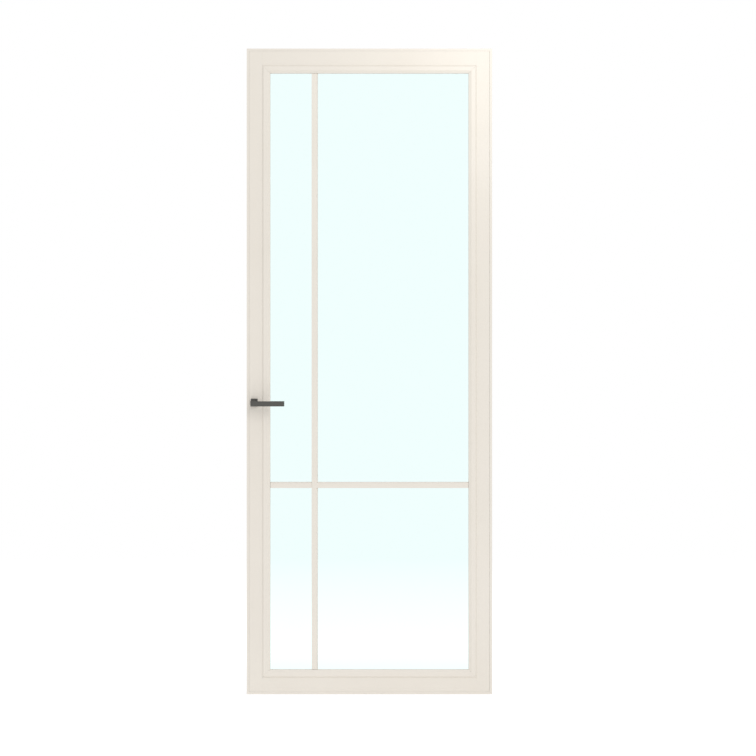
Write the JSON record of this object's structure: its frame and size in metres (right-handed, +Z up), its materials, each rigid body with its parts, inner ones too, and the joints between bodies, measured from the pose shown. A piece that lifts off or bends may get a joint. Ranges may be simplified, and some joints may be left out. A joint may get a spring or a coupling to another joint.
{
  "type": "glass door",
  "caption": "Slim cream glazed door leaf with dark lever handle in a thin liner frame, tall glass divided by bars.",
  "frame": {"origin": "middle of the threshold's underside, on the floor, halfway through the frame's depth", "axes": "X right as seen from the front, Y away from the viewer, Z up"},
  "size_m": [0.88, 0.15, 2.315],
  "materials": {
    "powder_coat": "satin powder coat",
    "gunmetal": "satin gunmetal",
    "stainless": "brushed",
    "zinc_steel": "zinc plated",
    "cast_aluminium": "cast",
    "bronze": "turned",
    "seal_rubber": "matt",
    "cap_plastic": "moulded",
    "clear_glass": "polished"
  },
  "bodies": {
    "frame": {"lock_jamb": "powder_coat", "hinge_jamb": "powder_coat", "frame_head": "powder_coat", "threshold": "powder_coat", "lock_side_seal": "seal_rubber", "hinge_side_seal": "seal_rubber", "head_seal": "seal_rubber", "strike_plate": "stainless", "plate_screws": "zinc_steel", "frame_corner_screws": "zinc_steel", "bottom_pivot_plate": "zinc_steel", "bottom_pivot_pin": "zinc_steel", "thrust_washer": "bronze", "top_pivot_bush": "bronze"},
    "leaf": {"lock_stile": "powder_coat", "hinge_stile": "powder_coat", "top_rail": "powder_coat", "bottom_rail": "powder_coat", "corner_cleats": "cast_aluminium", "cleat_screws": "zinc_steel", "stile_end_caps": "cap_plastic", "bottom_pivot_block": "zinc_steel", "bottom_pivot_bush": "bronze", "top_pivot_block": "zinc_steel", "top_pivot_pin": "zinc_steel", "glass_pane": "clear_glass", "setting_blocks": "seal_rubber", "front_gasket": "seal_rubber", "back_gasket": "seal_rubber", "front_bead_left": "powder_coat", "front_bead_right": "powder_coat", "front_bead_top": "powder_coat", "front_bead_bottom": "powder_coat", "back_bead_left": "powder_coat", "back_bead_right": "powder_coat", "back_bead_top": "powder_coat", "back_bead_bottom": "powder_coat", "front_bar_upright": "powder_coat", "front_bar_left": "powder_coat", "front_bar_right": "powder_coat", "back_bar_upright": "powder_coat", "back_bar_left": "powder_coat", "back_bar_right": "powder_coat", "lock_faceplate": "stainless", "faceplate_screws": "zinc_steel", "lock_mount_blocks": "zinc_steel", "lock_case": "zinc_steel", "lock_cover": "zinc_steel", "front_rose_base": "zinc_steel", "back_rose_base": "zinc_steel", "front_rose": "gunmetal", "back_rose": "gunmetal", "rose_screws": "zinc_steel", "latch_spring": "zinc_steel"},
    "handle": {"front_lever": "gunmetal", "back_lever": "gunmetal", "spindle": "zinc_steel", "grub_screws": "zinc_steel", "follower": "zinc_steel"},
    "latch": {"latch_bolt": "zinc_steel"}
  },
  "joints": [
    {"name": "leaf_swing", "type": "hinge", "parent": "frame", "child": "leaf", "pos_m": [0.4225, -0.0365, 0], "axis": [0, 0, 1], "range_deg": [0, 90]},
    {"name": "lever_turn", "type": "hinge", "parent": "leaf", "child": "handle", "pos_m": [-0.413, -0.025, 1.0455], "axis": [0, 1, 0], "range_deg": [0, 40], "stiffness_Nm_per_rad": 1.5, "springref_deg": -22.92},
    {"name": "latch_slide", "type": "slide", "parent": "leaf", "child": "latch", "axis": [1, 0, 0], "range_m": [0, 0.0087], "deforming": ["latch_spring"]}
  ],
  "couplings": [
    {"joint": "latch_slide", "follows": "lever_turn", "m_per_rad": 0.012175}
  ]
}
